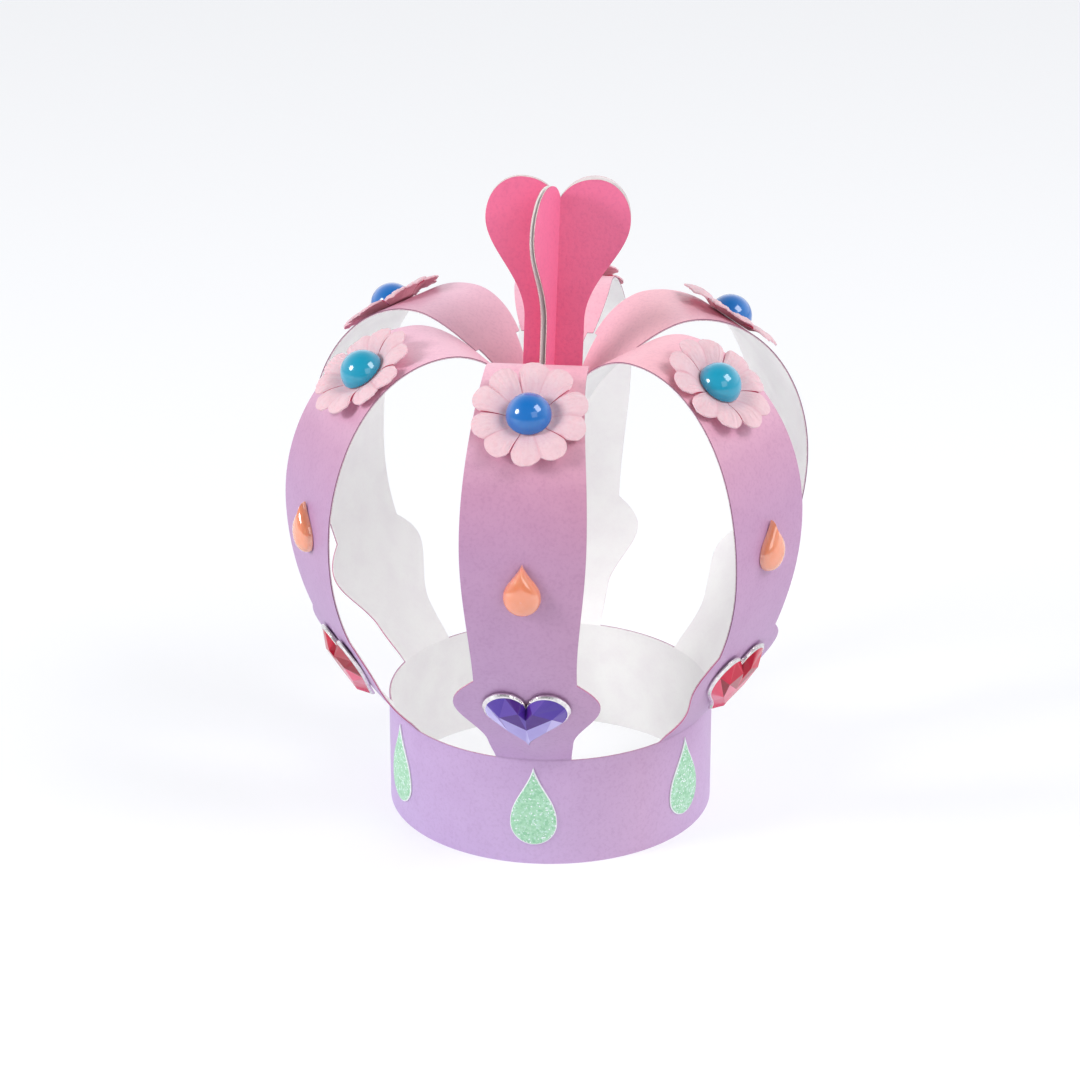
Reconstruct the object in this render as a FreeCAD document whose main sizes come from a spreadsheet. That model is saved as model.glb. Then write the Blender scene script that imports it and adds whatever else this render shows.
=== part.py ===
"""A paper crown: a ring band with six arms, cut and folded from one card sheet, a heart topper and gems.

Z is up and the origin is the middle of the band's lower edge. The first arm faces -Y, and the others follow
counter-clockwise as seen from above.
"""
import FreeCAD, Part
import math
import os

from FreeCAD import Placement, Rotation, Vector

os.makedirs("parts", exist_ok=True)

UP = Vector(0, 0, 1)

# Every driving size, in millimetres or degrees
SIZES = (
    ("arm_count", 6, "arms, evenly spaced round the band"),
    ("card_thickness", 0.5, "card of the band and arms"),
    ("band_radius", 44, "outside radius of the band"),
    ("band_height", 30.5, "height of the band"),
    ("lap_length", 11, "length of the band's glued overlap, measured round the ring"),
    ("foot_lean", 51.5, "angle of an arm's foot above level"),
    ("belly_radius", 69.2, "largest radius of the arms"),
    ("belly_height", 91, "height at which the arms are widest apart"),
    ("crest_radius", 34.2, "radius at which the arms are highest"),
    ("crest_height", 136.3, "height of the arms' highest point"),
    ("foot_half", 9.9, "half width of an arm at its fold"),
    ("neck_half", 11.2, "half width of the neck under the lobes"),
    ("neck_length", 11.5, "length of the neck along the arm"),
    ("lobe_length", 25.5, "length of the lobes along the arm"),
    ("lobe_bulge", 6.4, "how far a lobe stands out past the strap's line"),
    ("strap_foot_half", 13.2, "half width of the strap where it leaves the lobes"),
    ("strap_half", 15.9, "half width of the strap at its widest"),
    ("strap_widest", 12, "distance from the belly up to the strap's widest place"),
    ("crest_half", 13, "half width of the strap on the crest"),
    ("shoulder_run", 19.5, "distance from the crest down to the tongue's shoulder"),
    ("shoulder_step", 1.6, "how far the tongue's shoulder steps in"),
    ("tongue_end_half", 1.5, "half width of a tongue at its rounded end"),
    ("arm_gap", 0.3, "space left at the edge of each arm beside its neighbour"),
    ("tongue_bend_height", 110, "height at which the tongues turn upright"),
    ("tongue_tip", 4, "length of the upright end of a tongue"),
    ("stem_half", 7.8, "half width of the hearts' stem"),
    ("stem_clearance", 0.2, "gap between the stem's edges and the tongues"),
    ("stem_drop", 1.5, "how far the stem ends below the tongues"),
    ("heart_half", 18.8, "half width of a topper heart"),
    ("heart_widest_height", 165, "height of a heart's widest place"),
    ("heart_top_height", 176, "height of a heart's highest place"),
    ("heart_top_radius", 9.7, "distance from the axis to a heart's highest place"),
    ("heart_notch_height", 169.8, "height of the notch between a heart's halves"),
    ("heart_waist_height", 137.5, "height at which a heart runs into its stem"),
    ("heart_card", 0.45, "card of the topper hearts"),
    ("heart_glue_gap", 0.15, "half the space between two hearts glued back to back"),
    ("front_wing_turn", 15, "angle from the front arm to the wing on its left"),
    ("flat_heart_turn", 3.4, "how far the topper's flat back heart is turned from square"),
    ("topper_lean", 2, "how far the topper leans to the right, in degrees"),
    ("glue_gap", 0.05, "space between an ornament and the card that it is stuck to"),
    ("flower_below_crest", 19.5, "distance from the crest down to a flower's middle"),
    ("flower_radius", 14.8, "radius over a flower's petals"),
    ("flower_paper", 0.6, "paper of the flowers"),
    ("flower_rise", 1.7, "how far the petals arch up from the flower's middle"),
    ("flower_seat_margin", 0.5, "flat rim of a flower's middle outside its pearl"),
    ("petal_count", 5, "petals of a flower, each with two lobes"),
    ("petal_notch_radius", 12.2, "radius at the notch in a petal's rim"),
    ("petal_slit_radius", 6.6, "radius at which the slits between petals start"),
    ("pearl_radius", 5.8, "radius of the half pearls"),
    ("pear_gem_station", 66.5, "distance up the arm to a pear-shaped gem"),
    ("pear_gem_length", 14, "length of a pear-shaped gem"),
    ("pear_gem_width", 9.6, "width of a pear-shaped gem"),
    ("pear_gem_height", 3.4, "how far a pear-shaped gem stands up"),
    ("heart_gem_station", 23, "distance up the arm to a heart gem"),
    ("heart_gem_width", 22.8, "width of a heart gem"),
    ("heart_gem_length", 23, "length of a heart gem"),
    ("heart_gem_height", 3.6, "how far a heart gem stands up"),
    ("heart_gem_rim", 1.1, "height of a heart gem's foil rim"),
    ("heart_gem_table", 0.62, "size of a heart gem's top as a share of its outline"),
    ("drop_width", 12.4, "width of a glitter drop"),
    ("drop_length", 22.6, "length of a glitter drop"),
    ("drop_below_edge", 2, "distance from the band's top edge to a drop's point"),
    ("drop_card", 0.4, "card of the glitter drops"),
)

doc = FreeCAD.newDocument("paper_crown")
sheet = doc.addObject("Spreadsheet::Sheet", "sizes")
for row, (alias, value, note) in enumerate(SIZES, start=1):
    sheet.set(f"A{row}", note)
    sheet.set(f"B{row}", str(value))
    sheet.setAlias(f"B{row}", alias)
doc.recompute()


def size(alias):
    """The value of one cell of the sheet."""
    return float(sheet.get(alias))


ARMS = int(size("arm_count"))
ARM_STEP = 360.0 / ARMS
CARD = size("card_thickness")
PETALS = int(size("petal_count"))
FULL_TURN = 360
RIGHT_ANGLE = 90

# Shape of the arm's three curves: how far each end pulls along its own direction, as a share of its span
FOOT_PULL = 0.43
BELLY_PULL_DOWN = 0.36
BELLY_PULL_UP = 0.58
CREST_PULL_OUT = 0.55
CREST_PULL_IN = 0.47
TIP_PULL = 0.38
LOBE_SKEW = 1.6
LOBE_CUTS = 8
STRAP_CUTS = 14
TONGUE_CUTS = 6

# Shape of a topper heart's curves, in the same way
NOTCH_RUN = 0.15
NOTCH_RISE = 0.6
ROUND_PULL = 0.48
QUARTER_PULL = 0.56
FLANK_PULL = 0.33
WAIST_PULL = 0.42

# Shape of the ornaments
PETAL_TIP_DROP = 0.45
PETAL_CREST_HALF = 1.5
SLIT_TAPER = 0.13
DROP_FLANK = 0.42
DROP_POINT = 0.3
HEART_FACETS = 20
HEART_WAVES = (13, -5, -2, -1)
HEART_SPAN = 29
HEART_CENTRE = 0.07

# Levels of a pear-shaped gem's rounded face: share of its height, and size as a share of its outline
PEAR_LEVELS = ((0, 1), (0.35, 0.97), (0.7, 0.78), (0.93, 0.45), (1, 0.18))


def feature(name, shape, placement=None):
    """One object with a shape worked out here, put in its place."""
    made = doc.addObject("Part::Feature", name)
    made.Label = name
    made.Shape = shape
    if placement is not None:
        made.Placement = placement
    return made


def bezier(*poles):
    curve = Part.BezierCurve()
    curve.setPoles(list(poles))
    return curve.toShape()


def turned(angle):
    """A turn about the crown's axis: 0 faces -Y, and 90 faces +X."""
    return Placement(Vector(), Rotation(UP, angle - 90))


# The line of an arm, seen from the side

def tongue_seat():
    """The radius of the tongues' upright ends, which clears the corners of the hearts' stem edges."""
    turn = math.radians(size("front_wing_turn"))
    edge = size("stem_half") + size("stem_clearance")
    half_wing = size("heart_glue_gap") + size("heart_card")
    return edge * math.cos(turn) + half_wing * math.sin(turn)


def arm_line():
    """The arm's printed face as edges in the XZ plane, from the fold at the band to the end of the tongue."""
    lean = math.radians(size("foot_lean"))
    foot = Vector(size("band_radius"), 0, size("band_height"))
    belly = Vector(size("belly_radius"), 0, size("belly_height"))
    crest = Vector(size("crest_radius"), 0, size("crest_height"))
    bend = Vector(tongue_seat(), 0, size("tongue_bend_height"))
    tip = bend - UP * size("tongue_tip")
    rise = belly.z - foot.z
    top_rise = crest.z - belly.z
    top_run = belly.x - crest.x
    fall = crest.z - bend.z
    inward = crest.x - bend.x
    return [
        bezier(foot, foot + Vector(math.cos(lean), 0, math.sin(lean)) * rise * FOOT_PULL,
               belly - UP * rise * BELLY_PULL_DOWN, belly),
        bezier(belly, belly + UP * top_rise * BELLY_PULL_UP,
               crest + Vector(top_run * CREST_PULL_OUT, 0, 0), crest),
        bezier(crest, crest - Vector(inward * CREST_PULL_IN, 0, 0),
               bend + UP * fall * TIP_PULL, bend),
        Part.LineSegment(bend, tip).toShape(),
    ]


LINE = arm_line()
BELLY_STATION = LINE[0].Length
CREST_STATION = BELLY_STATION + LINE[1].Length
TIP_STATION = CREST_STATION + LINE[2].Length + LINE[3].Length
LOBE_START = size("neck_length")
LOBE_END = LOBE_START + size("lobe_length")
WIDEST_STATION = BELLY_STATION + size("strap_widest")
SHOULDER_STATION = CREST_STATION + size("shoulder_run")


def along(distance):
    """The point, the direction and the printed side's normal at a distance along the arm's line."""
    left = distance
    for edge in LINE:
        if left <= edge.Length or edge is LINE[-1]:
            place = edge.getParameterByLength(min(left, edge.Length))
            heading = edge.tangentAt(place)
            return edge.valueAt(place), heading, Vector(heading.z, 0, -heading.x)
        left -= edge.Length


def ease(start, end, share):
    """A smooth step from start to end."""
    return start + (end - start) * (1 - math.cos(math.pi * share)) / 2


def room(distance):
    """The half width that keeps an arm clear of its neighbours."""
    point = along(distance)[0]
    return point.x * math.tan(math.pi / ARMS) - size("arm_gap")


def strap_half(distance):
    if distance < WIDEST_STATION:
        share = (distance - LOBE_END) / (WIDEST_STATION - LOBE_END)
        return ease(size("strap_foot_half"), size("strap_half"), share)
    if distance < CREST_STATION:
        share = (distance - WIDEST_STATION) / (CREST_STATION - WIDEST_STATION)
        return ease(size("strap_half"), size("crest_half"), share)
    share = (distance - CREST_STATION) / (SHOULDER_STATION - CREST_STATION)
    return size("crest_half") + (room(SHOULDER_STATION) - size("crest_half")) * share ** 2


def lobe_half(distance):
    share = (distance - LOBE_START) / size("lobe_length")
    line = size("neck_half") + (size("strap_foot_half") - size("neck_half")) * share
    return line + size("lobe_bulge") * math.sin(math.pi * share ** LOBE_SKEW)


def tongue_half(distance):
    share = (distance - SHOULDER_STATION) / (TIP_STATION - SHOULDER_STATION)
    straight = room(distance) - size("shoulder_step") * (1 - share)
    end = size("tongue_end_half") / straight
    return straight * math.sqrt(1 - (1 - end ** 2) * share ** 3)


def card_section(corners, outer_middle=None, inner_middle=None):
    """A closed cut through the card, flat or bowed: printed left and right, then plain right and left."""
    left, right, inner_right, inner_left = corners
    if outer_middle is None:
        outer = Part.LineSegment(left, right).toShape()
        inner = Part.LineSegment(inner_right, inner_left).toShape()
    else:
        outer = Part.Arc(left, outer_middle, right).toShape()
        inner = Part.Arc(inner_right, inner_middle, inner_left).toShape()
    side_right = Part.LineSegment(right, inner_right).toShape()
    side_left = Part.LineSegment(inner_left, left).toShape()
    return Part.Wire([outer, side_right, inner, side_left])


def flat_section(distance, half):
    point, _, normal = along(distance)
    inner = point - normal * CARD
    across = Vector(0, half, 0)
    return card_section((point - across, point + across, inner + across, inner - across))


def ring_section():
    """The arm's root: the part of the band's top edge that it is folded from."""
    half = size("foot_half")
    level = size("band_height")
    corners = []
    for radius, side in ((size("band_radius"), -1), (size("band_radius"), 1)):
        corners.append(Vector(math.sqrt(radius ** 2 - half ** 2), side * half, level))
    inside = size("band_radius") - CARD
    for side in (1, -1):
        corners.append(Vector(math.sqrt(inside ** 2 - half ** 2), side * half, level))
    return card_section(corners, Vector(size("band_radius"), 0, level), Vector(inside, 0, level))


def bowed_section(distance, half, sag):
    """A cut across the neck, where the card still follows the ring."""
    point, _, normal = along(distance)
    inner = point - normal * CARD
    across = Vector(0, half, 0)
    back = normal * sag
    corners = (point - across - back, point + across - back, inner + across - back, inner - across - back)
    return card_section(corners, point, inner)


def spread(start, end, count):
    """Evenly spaced distances from start to end."""
    return [start + (end - start) * step / count for step in range(count + 1)]


def card_run(start, end, count, half):
    """A smooth run of flat card between two distances, with its half width given by a function."""
    return Part.makeLoft([flat_section(d, half(d)) for d in spread(start, end, count)], True, False)


def arm_solids():
    """One arm facing +X: neck, lobes, strap and tongue, each a smooth run of card."""
    half_neck = LOBE_START / 2
    ring_sag = size("band_radius") - math.sqrt(size("band_radius") ** 2 - size("foot_half") ** 2)
    neck = Part.makeLoft([
        ring_section(),
        bowed_section(half_neck, (size("foot_half") + size("neck_half")) / 2, ring_sag / 3),
        flat_section(LOBE_START, size("neck_half")),
    ], True, False)
    lobes = card_run(LOBE_START, LOBE_END, LOBE_CUTS, lobe_half)
    strap = card_run(LOBE_END, SHOULDER_STATION, STRAP_CUTS, strap_half)
    tongue = card_run(SHOULDER_STATION, TIP_STATION, TONGUE_CUTS, tongue_half)
    return neck, lobes, strap, tongue


def make_crown_sheet():
    """The band and its arms as one sheet, with the band's ends glued over one another."""
    outside = doc.addObject("Part::Cylinder", "band_outside")
    outside.setExpression("Radius", "sizes.band_radius")
    outside.setExpression("Height", "sizes.band_height")
    inside = doc.addObject("Part::Cylinder", "band_inside")
    inside.setExpression("Radius", "sizes.band_radius - sizes.card_thickness")
    inside.setExpression("Height", "sizes.band_height")
    band = doc.addObject("Part::Cut", "band")
    band.Base = outside
    band.Tool = inside
    lap_outside = doc.addObject("Part::Cylinder", "lap_outside")
    lap_outside.setExpression("Radius", "sizes.band_radius - sizes.card_thickness")
    lap_outside.setExpression("Height", "sizes.band_height")
    lap_outside.setExpression("Angle", "sizes.lap_length / sizes.band_radius * 180 / pi")
    lap_inside = doc.addObject("Part::Cylinder", "lap_inside")
    lap_inside.setExpression("Radius", "sizes.band_radius - 2 * sizes.card_thickness")
    lap_inside.setExpression("Height", "sizes.band_height")
    lap = doc.addObject("Part::Cut", "lap")
    lap.Base = lap_outside
    lap.Tool = lap_inside
    foot_angle = math.degrees(math.asin(size("foot_half") / size("band_radius")))
    lap_angle = math.degrees(size("lap_length") / size("band_radius"))
    lap.Placement = turned(2 * ARM_STEP - foot_angle - lap_angle)
    pieces = [band, lap]
    for number in range(ARMS):
        for run, solid in zip(("neck", "lobes", "strap", "tongue"), arm_solids()):
            pieces.append(feature(f"{run}_{number + 1}", solid, turned(number * ARM_STEP)))
    whole = doc.addObject("Part::MultiFuse", "crown_sheet")
    whole.Label = "crown_sheet"
    whole.Shapes = pieces
    whole.Refine = True
    return [whole]


# The heart topper

def half_heart():
    """Half of a heart with its stem, in the XZ plane beside the axis."""
    bottom = size("tongue_bend_height") - size("tongue_tip") - size("stem_drop")
    notch = Vector(0, 0, size("heart_notch_height"))
    top = Vector(size("heart_top_radius"), 0, size("heart_top_height"))
    widest = Vector(size("heart_half"), 0, size("heart_widest_height"))
    waist = Vector(size("stem_half"), 0, size("heart_waist_height"))
    lobe = top.z - notch.z
    crown = top.z - widest.z
    flank = widest.z - waist.z
    corner = Vector(size("stem_half"), 0, bottom)
    edges = [
        bezier(notch, notch + Vector(top.x * NOTCH_RUN, 0, lobe * NOTCH_RISE),
               top - Vector(top.x * ROUND_PULL, 0, 0), top),
        bezier(top, top + Vector((widest.x - top.x) * QUARTER_PULL, 0, 0),
               widest + UP * crown * QUARTER_PULL, widest),
        bezier(widest, widest - UP * flank * FLANK_PULL, waist + UP * flank * WAIST_PULL, waist),
        Part.LineSegment(waist, corner).toShape(),
        Part.LineSegment(corner, Vector(0, 0, bottom)).toShape(),
        Part.LineSegment(Vector(0, 0, bottom), notch).toShape(),
    ]
    return Part.Face(Part.Wire(edges))


def folded_heart(turn):
    """A heart folded down its middle, from a half along +X to one at an angle, and mitred at the fold."""
    gap = size("heart_glue_gap")
    reach = size("heart_half") + size("heart_card") + gap
    halves = []
    for side in (1, -1):
        half = half_heart().extrude(Vector(0, side * size("heart_card"), 0))
        half.translate(Vector(0, side * gap, 0))
        corner = Part.makeBox(2 * reach, reach, size("heart_top_height"), Vector(0, min(0, side * reach), 0))
        corner.rotate(Vector(), UP, side * (turn / 2 - RIGHT_ANGLE))
        half = half.common(corner)
        if side < 0:
            half.rotate(Vector(), UP, turn)
        halves.append(half)
    return halves[0].fuse(halves[1]).removeSplitter()


def make_topper_hearts():
    """Three hearts glued back to back: two folded ones in front, and a flat one behind them."""
    front = -size("front_wing_turn")
    right = RIGHT_ANGLE + size("flat_heart_turn")
    left = right + FULL_TURN / 2
    pivot = Vector(0, 0, size("tongue_bend_height") - size("tongue_tip") / 2)
    lean = Placement(Vector(), Rotation(Vector(0, 1, 0), size("topper_lean")), pivot)
    made = []
    for number, (start, end) in enumerate(((front, right), (right, left), (left, front + FULL_TURN)), start=1):
        made.append(feature(f"topper_heart_{number}", folded_heart(end - start), lean.multiply(turned(start))))
    return made


# Ornaments, each drawn lying flat with its back on the XY plane and its top towards +Y

def on_arm(number, distance, lift):
    """The place of an ornament on an arm: its back on the printed face, its top towards the crest."""
    point, heading, normal = along(distance)
    across = heading.cross(normal)
    seat = Placement(point + normal * lift, Rotation(across, heading, normal, "ZXY"))
    return turned(number * ARM_STEP).multiply(seat)


def flower_shape():
    """A pressed paper flower: a thin dished disc cut to notched petals with slits between them."""
    outer = size("flower_radius")
    flat = size("pearl_radius") + size("flower_seat_margin")
    paper = size("flower_paper")
    rise = size("flower_rise")
    middle = (flat + outer) / 2
    low = bezier(Vector(flat, 0, 0), Vector(flat + PETAL_CREST_HALF, 0, 0),
                 Vector(middle - PETAL_CREST_HALF, 0, rise), Vector(middle + PETAL_CREST_HALF, 0, rise),
                 Vector(outer, 0, rise * PETAL_TIP_DROP))
    high = low.copy()
    high.translate(Vector(0, 0, paper))
    ends = (low.valueAt(low.LastParameter), low.valueAt(low.FirstParameter))
    profile = Part.Wire([
        Part.LineSegment(Vector(0, 0, 0), ends[1]).toShape(), low,
        Part.LineSegment(ends[0], ends[0] + UP * paper).toShape(), high,
        Part.LineSegment(ends[1] + UP * paper, UP * paper).toShape(),
        Part.LineSegment(UP * paper, Vector(0, 0, 0)).toShape(),
    ])
    dish = Part.Face(profile).revolve(Vector(), UP, FULL_TURN)
    tall = rise + 2 * paper
    petal_angle = FULL_TURN / PETALS
    lobe_sine = math.sin(math.radians(petal_angle / 4))
    lobe_radius = outer * lobe_sine / (1 + lobe_sine)
    reach = outer - lobe_radius
    outline = Part.makeCylinder(size("petal_notch_radius"), tall)
    for lobe in range(2 * PETALS):
        angle = math.radians((lobe + 0.5) * petal_angle / 2)
        centre = Vector(reach * math.cos(angle), reach * math.sin(angle), 0)
        outline = outline.fuse(Part.makeCylinder(lobe_radius, tall, centre))
    slit_start = size("petal_slit_radius")
    slit_wide = (outer - slit_start) * SLIT_TAPER
    slits = []
    for petal in range(PETALS):
        points = [Vector(slit_start, 0, 0), Vector(outer, -slit_wide, 0), Vector(outer, slit_wide, 0)]
        wedge = Part.Face(Part.makePolygon(points + points[:1])).extrude(UP * tall)
        wedge.rotate(Vector(), UP, petal * petal_angle)
        slits.append(wedge)
    return dish.common(outline).cut(slits)


def make_flowers():
    shape = flower_shape()
    station = CREST_STATION - size("flower_below_crest")
    return [feature(f"flower_{n + 1}", shape, on_arm(n, station, size("glue_gap"))) for n in range(ARMS)]


def make_pearls():
    """Half pearls, flat side down on the flowers' middles."""
    station = CREST_STATION - size("flower_below_crest")
    lift = size("flower_paper") + 2 * size("glue_gap")
    made = []
    for number in range(ARMS):
        pearl = doc.addObject("Part::Sphere", f"pearl_{number + 1}")
        pearl.Label = pearl.Name
        pearl.setExpression("Radius", "sizes.pearl_radius")
        pearl.Angle1 = 0
        pearl.Placement = on_arm(number, station, lift)
        made.append(pearl)
    return made


def pear_outline(length, width, level):
    """A drop with a round foot and a pointed top, its round end about the origin."""
    radius = width / 2
    point = Vector(0, length - radius, level)
    left = Vector(-radius, 0, level)
    right = Vector(radius, 0, level)
    neck = UP.cross(Vector(-radius, 0, 0))
    flank = (length - radius) * DROP_FLANK
    return Part.Wire([
        Part.Arc(left, Vector(0, -radius, level), right).toShape(),
        bezier(right, right - neck * (flank / radius), point + Vector(radius * DROP_POINT, -flank, 0), point),
        bezier(point, point + Vector(-radius * DROP_POINT, -flank, 0), left - neck * (flank / radius), left),
    ])


def make_pear_gems():
    """Glossy stick-on gems with a pear outline and a rounded face."""
    long = size("pear_gem_length")
    wide = size("pear_gem_width")
    high = size("pear_gem_height")
    wires = [pear_outline(long * scale, wide * scale, high * share) for share, scale in PEAR_LEVELS]
    shape = Part.makeLoft(wires, True, True)
    shape.translate(Vector(0, (wide - long) / 2, 0))
    made = []
    for number in range(ARMS):
        made.append(feature(f"pear_gem_{number + 1}", shape,
                            on_arm(number, size("pear_gem_station"), size("glue_gap"))))
    return made


def heart_points(width, length, level):
    """A heart's outline as a ring of points, so that its sides are facets."""
    points = []
    for step in range(HEART_FACETS):
        angle = math.tau * step / HEART_FACETS
        across = math.sin(angle) ** 3
        waves = sum(share * math.cos((order + 1) * angle) for order, share in enumerate(HEART_WAVES))
        ahead = waves / HEART_SPAN + HEART_CENTRE
        points.append(Vector(across * width / 2, ahead * length, level))
    return Part.makePolygon(points + points[:1])


def make_heart_gems():
    """Faceted heart gems with an upright foil rim and a flat top."""
    width = size("heart_gem_width")
    length = size("heart_gem_length")
    table = size("heart_gem_table")
    shape = Part.makeLoft([
        heart_points(width, length, 0),
        heart_points(width, length, size("heart_gem_rim")),
        heart_points(width * table, length * table, size("heart_gem_height")),
    ], True, True)
    made = []
    for number in range(ARMS):
        made.append(feature(f"heart_gem_{number + 1}", shape,
                            on_arm(number, size("heart_gem_station"), size("glue_gap"))))
    return made


def make_glitter_drops():
    """Drops of thin glitter card that lie round the band, one under each arm."""
    near = size("band_radius") + size("glue_gap")
    far = near + size("drop_card")
    length = size("drop_length")
    width = size("drop_width")
    ring = Part.makeCylinder(far, size("band_height")).cut(Part.makeCylinder(near, size("band_height")))
    outline = Part.Face(pear_outline(length, width, 0))
    block = outline.extrude(UP * size("band_radius"))
    foot = size("band_height") - size("drop_below_edge") - length + width / 2
    block.Placement = Placement(Vector(size("band_radius") / 2, 0, foot),
                                Rotation(Vector(0, 1, 0), UP, Vector(1, 0, 0), "ZXY"))
    shape = ring.common(block)
    return [feature(f"glitter_drop_{n + 1}", shape, turned(n * ARM_STEP)) for n in range(ARMS)]


parts = make_crown_sheet() + make_topper_hearts() + make_flowers() + make_pearls()
parts += make_pear_gems() + make_heart_gems() + make_glitter_drops()
doc.recompute()

for item in doc.Objects:
    if "Invalid" in item.State or "Error" in item.State:
        raise RuntimeError(f"{item.Label} did not compute: {item.State}")
for item in parts:
    if item.Shape.isNull() or not item.Shape.isValid():
        raise RuntimeError(f"{item.Label} has no sound shape")
for item in parts:
    item.Shape.exportStep(os.path.join("parts", item.Label + ".step"))
    print(item.Label, len(item.Shape.Solids), round(item.Shape.Volume, 2))
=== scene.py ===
"""Looks of the paper crown: printed card, folded hearts, paper flowers, half pearls, gems and glitter.

Every piece is a mesh built here, in millimetres until it becomes an object, in the place of its CAD node.
"""

import math
import random
from bisect import bisect_left

import bmesh
import bpy
from mathutils import Matrix, Vector, noise


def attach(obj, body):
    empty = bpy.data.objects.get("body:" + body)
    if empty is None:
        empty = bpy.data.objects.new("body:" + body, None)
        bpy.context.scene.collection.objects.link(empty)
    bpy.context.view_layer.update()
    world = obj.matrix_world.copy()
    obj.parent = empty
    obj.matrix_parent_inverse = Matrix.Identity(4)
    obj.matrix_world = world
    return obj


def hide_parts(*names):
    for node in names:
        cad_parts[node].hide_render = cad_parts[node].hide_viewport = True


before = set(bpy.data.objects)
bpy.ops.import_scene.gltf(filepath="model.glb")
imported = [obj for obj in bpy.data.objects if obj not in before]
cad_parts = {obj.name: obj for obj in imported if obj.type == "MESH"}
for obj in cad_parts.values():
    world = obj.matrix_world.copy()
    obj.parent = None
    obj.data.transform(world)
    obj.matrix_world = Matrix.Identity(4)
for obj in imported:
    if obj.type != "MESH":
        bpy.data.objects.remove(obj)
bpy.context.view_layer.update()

MM = 0.001
BODY = "root"
ARMS = 6
ARM_STEP = 60
UP = Vector((0, 0, 1))

# The card sheet's sizes, as in the CAD part
CARD = 0.5
PLY = 0.26
BAND_RADIUS = 44
BAND_HEIGHT = 30.5
LAP_LENGTH = 11
SEAM_GAP = 0.12
LAP_GLUE = 0.01
FOOT_LEAN = 51.5
BELLY = (69.2, 91)
CREST = (34.2, 136.3)
FOOT_HALF = 9.9
NECK_HALF = 11.2
NECK_LENGTH = 11.5
LOBE_LENGTH = 25.5
LOBE_BULGE = 6.4
LOBE_SKEW = 1.6
STRAP_FOOT_HALF = 13.2
STRAP_HALF = 15.9
STRAP_WIDEST = 12
CREST_HALF = 13
SHOULDER_RUN = 19.5
SHOULDER_STEP = 1.6
TONGUE_END_HALF = 1.5
ARM_GAP = 0.3
TONGUE_BEND_HEIGHT = 110
TONGUE_TIP = 4

# The topper's sizes
STEM_HALF = 7.8
STEM_CLEARANCE = 0.2
STEM_DROP = 1.5
HEART_HALF = 18.8
HEART_WIDEST_HEIGHT = 165
HEART_TOP = (9.7, 176)
HEART_NOTCH_HEIGHT = 169.8
HEART_WAIST_HEIGHT = 137.5
HEART_CARD = 0.45
HEART_GAP = 0.15
HEART_PLY = 0.32
FRONT_WING_TURN = 15
FLAT_HEART_TURN = 3.4
BACK_HEART_RISE = 0.7
TOPPER_LEAN = 2

# The ornaments' sizes
GLUE_GAP = 0.05
FLOWER_BELOW_CREST = 19.5
FLOWER_RADIUS = 14.8
FLOWER_PAPER = 0.4
FLOWER_RISE = 1.7
PEARL_RADIUS = 5.8
PEARL_LIFT = 0.7
PEAR_STATION = 66.5
PEAR_LENGTH = 14
PEAR_WIDTH = 9.6
PEAR_HEIGHT = 3.4
GEM_STATION = 23
GEM_WIDTH = 22.8
GEM_LENGTH = 23
GEM_HEIGHT = 3.6
GEM_RIM = 1.1
DROP_WIDTH = 12.4
DROP_LENGTH = 22.6
DROP_BELOW_EDGE = 2
DROP_CARD = 0.4
DROP_BEVEL = 0.22


# Small helpers

def ease(start, end, share):
    """A smooth step from start to end."""
    share = min(max(share, 0), 1)
    return start + (end - start) * (1 - math.cos(math.pi * share)) / 2


def spread(start, end, count):
    """Evenly spaced values from start to end."""
    return [start + (end - start) * step / count for step in range(count + 1)]


def turned(azimuth):
    """A turn about the crown's axis: 0 faces -Y, and 90 faces +X."""
    return Matrix.Rotation(math.radians(azimuth - 90), 4, "Z")


def curve(poles, share):
    """The point and the direction of a Bezier curve."""
    points = [Vector(pole) for pole in poles]
    while len(points) > 2:
        points = [a.lerp(b, share) for a, b in zip(points, points[1:])]
    return points[0].lerp(points[1], share), (points[1] - points[0]).normalized()


class Line:
    """A chain of Bezier curves that can be walked by distance."""

    def __init__(self, chains, samples=240):
        self.distances = [0.0]
        self.places = []
        for poles in chains:
            for share in spread(0, 1, samples):
                point, heading = curve(poles, share)
                if self.places:
                    step = (point - self.places[-1][0]).length
                    self.distances.append(self.distances[-1] + step)
                self.places.append((point, heading))
        self.length = self.distances[-1]

    def at(self, distance):
        index = bisect_left(self.distances, distance)
        index = min(max(index, 1), len(self.distances) - 1)
        low, high = self.distances[index - 1], self.distances[index]
        share = 0 if high == low else min(max((distance - low) / (high - low), 0), 1)
        (a, a_heading), (b, b_heading) = self.places[index - 1], self.places[index]
        return a.lerp(b, share), a_heading.lerp(b_heading, share).normalized()


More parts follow.
